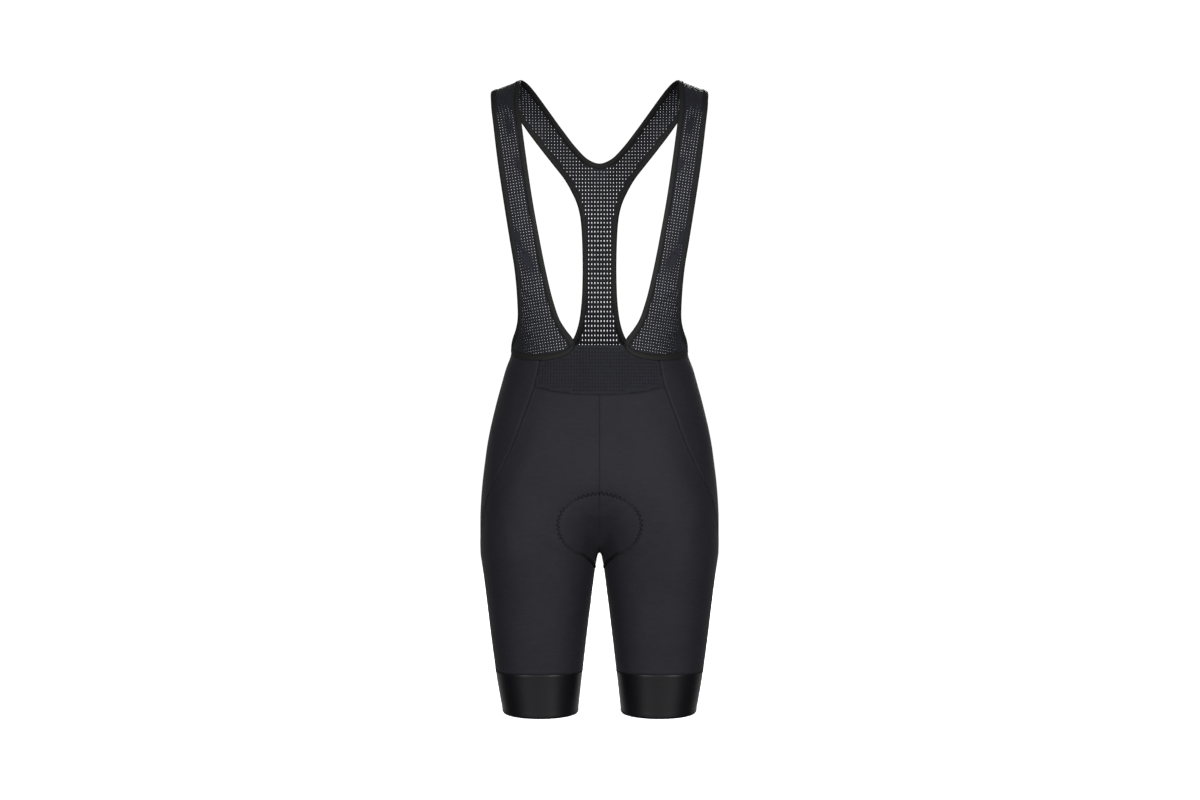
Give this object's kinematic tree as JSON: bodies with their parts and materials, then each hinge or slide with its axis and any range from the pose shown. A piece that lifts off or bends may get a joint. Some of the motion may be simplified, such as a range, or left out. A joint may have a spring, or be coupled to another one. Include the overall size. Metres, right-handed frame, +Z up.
{
  "type": "cycling bib shorts",
  "caption": "Close-fitting cycling bib shorts with mesh shoulder straps, Y-shaped mesh back, curved side panels, leg grippers and a seat pad, filled out as if worn.",
  "frame": {"origin": "midway between the two shoulder straps, level with their highest points", "axes": "+Z up towards the neck, +X the wearer's left, -Y the front of the garment"},
  "size_m": [0.338, 0.2299, 0.9011],
  "materials": {
    "panel_knit": "matte warp-knit stretch cloth, near black",
    "side_knit": "matte stretch cloth, slightly lighter and softer",
    "insert_mesh": "fine close mesh, near black",
    "strap_mesh": "open perforated stretch mesh, near black",
    "elastic_binding": "folded ribbed elastic, black",
    "gripper_band": "smooth elastic band with a satin sheen, black",
    "pad_cloth": "brushed pad cover, black"
  },
  "bodies": {
    "root": {"waist_insert": "insert_mesh", "front_panel_left": "panel_knit", "front_panel_right": "panel_knit", "side_panel_left": "side_knit", "side_panel_right": "side_knit", "back_panel_left": "panel_knit", "back_panel_right": "panel_knit", "leg_gripper_left": "gripper_band", "leg_gripper_right": "gripper_band", "seat_pad": "pad_cloth", "front_strap_left": "strap_mesh", "front_strap_right": "strap_mesh", "back_yoke": "strap_mesh", "neck_binding": "elastic_binding", "arm_binding_left": "elastic_binding", "arm_binding_right": "elastic_binding", "foot_binding_left": "elastic_binding", "foot_binding_right": "elastic_binding"}
  },
  "joints": []
}
